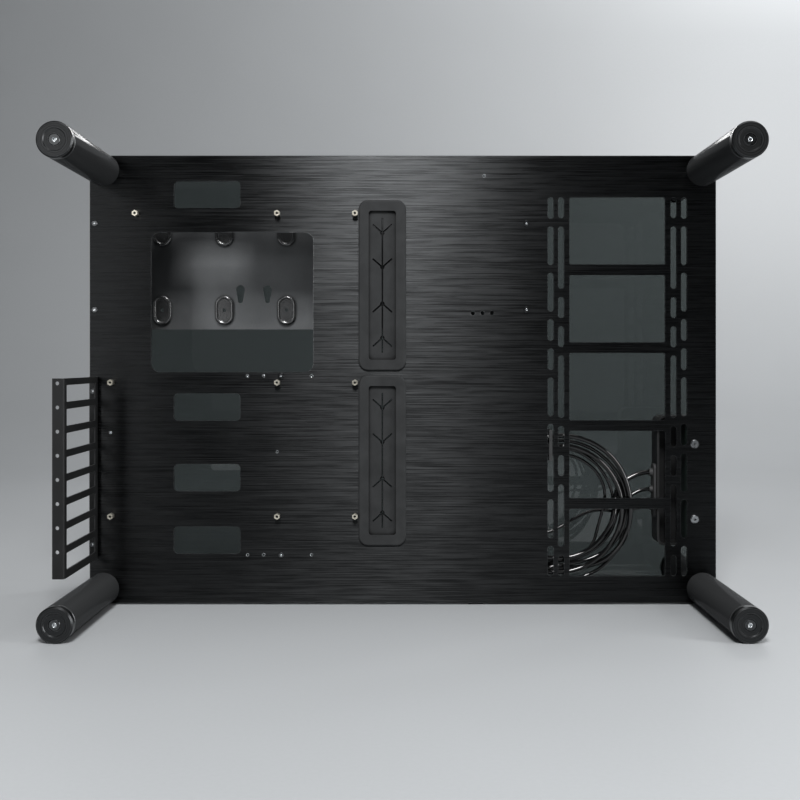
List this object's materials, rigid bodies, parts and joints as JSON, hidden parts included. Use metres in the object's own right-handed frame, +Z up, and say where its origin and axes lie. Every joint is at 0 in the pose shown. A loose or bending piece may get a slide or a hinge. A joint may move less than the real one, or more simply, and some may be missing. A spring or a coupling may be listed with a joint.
{
  "type": "open-frame desktop computer case",
  "caption": "Open desktop computer case: an upright brushed plate between round posts, with a radiator window, slit cable grommets, card bracket, drive tray and rear glass.",
  "frame": {"origin": "bottom centre of the case, on the surface that the posts stand on", "axes": "+X right as seen from the front, along the plate; +Y towards the back; +Z up"},
  "size_m": [0.59, 0.281, 0.421],
  "materials": {
    "plate": "brushed along its length and anodised black",
    "post": "turned, black satin",
    "cap": "turned, dark satin",
    "steel": "bright",
    "black_steel": "black oxide, satin",
    "smoked_glass": "polished, smoke grey",
    "rubber": "matt black",
    "grommet": "matt black",
    "pad_rubber": "matt dark grey",
    "standoff": "bright turned hexagon bar",
    "black_sheet": "folded sheet, fine black texture",
    "tray": "folded sheet, satin grey",
    "panel_plastic": "moulded, fine texture",
    "board": "dark green laminate",
    "socket_shell": "plated",
    "socket_tongue": "moulded",
    "jack_plastic": "moulded",
    "button_plastic": "moulded, smooth",
    "cable_jacket": "smooth black jacket",
    "tie_plastic": "moulded nylon",
    "connector_plastic": "moulded"
  },
  "bodies": {
    "case": {"main_plate": "plate", "front_post_top_left": "post", "rear_post_top_left": "post", "front_cap_top_left": "cap", "rear_cap_top_left": "cap", "front_post_top_right": "post", "rear_post_top_right": "post", "front_cap_top_right": "cap", "rear_cap_top_right": "cap", "front_post_bottom_left": "post", "rear_post_bottom_left": "post", "front_cap_bottom_left": "cap", "rear_cap_bottom_left": "cap", "front_post_bottom_right": "post", "rear_post_bottom_right": "post", "front_cap_bottom_right": "cap", "rear_cap_bottom_right": "cap", "cap_screws": "black_steel", "post_studs": "steel", "rear_glass": "smoked_glass", "glass_washers": "rubber", "motherboard_standoffs": "standoff", "upper_cable_grommet": "grommet", "lower_cable_grommet": "grommet", "expansion_bracket": "black_sheet", "drive_tray": "tray", "drive_pads": "pad_rubber", "supply_bracket": "black_sheet", "supply_strap": "black_sheet", "bracket_screws": "black_steel", "drive_tray_screws": "black_steel", "supply_strap_screws": "black_steel", "panel_screws": "steel", "panel_housing": "panel_plastic", "panel_board": "board", "upper_data_socket": "socket_shell", "lower_data_socket": "socket_shell", "upper_data_tongue": "socket_tongue", "lower_data_tongue": "socket_tongue", "headphone_jack": "jack_plastic", "microphone_jack": "jack_plastic", "power_switch": "jack_plastic", "reset_switch": "jack_plastic", "cable_outlet": "rubber", "data_cable": "cable_jacket", "sound_cable": "cable_jacket", "switch_cable": "cable_jacket", "cable_coil": "cable_jacket", "coil_tie": "tie_plastic", "data_connector": "connector_plastic", "sound_connector": "connector_plastic", "switch_connector": "connector_plastic"},
    "power_button": {"power_button": "button_plastic"},
    "reset_button": {"reset_button": "button_plastic"}
  },
  "joints": [
    {"name": "power_press", "type": "slide", "parent": "case", "child": "power_button", "axis": [-1, 0, 0], "range_m": [0, 0.0015], "stiffness_N_per_m": 300},
    {"name": "reset_press", "type": "slide", "parent": "case", "child": "reset_button", "axis": [-1, 0, 0], "range_m": [0, 0.0015], "stiffness_N_per_m": 300}
  ]
}
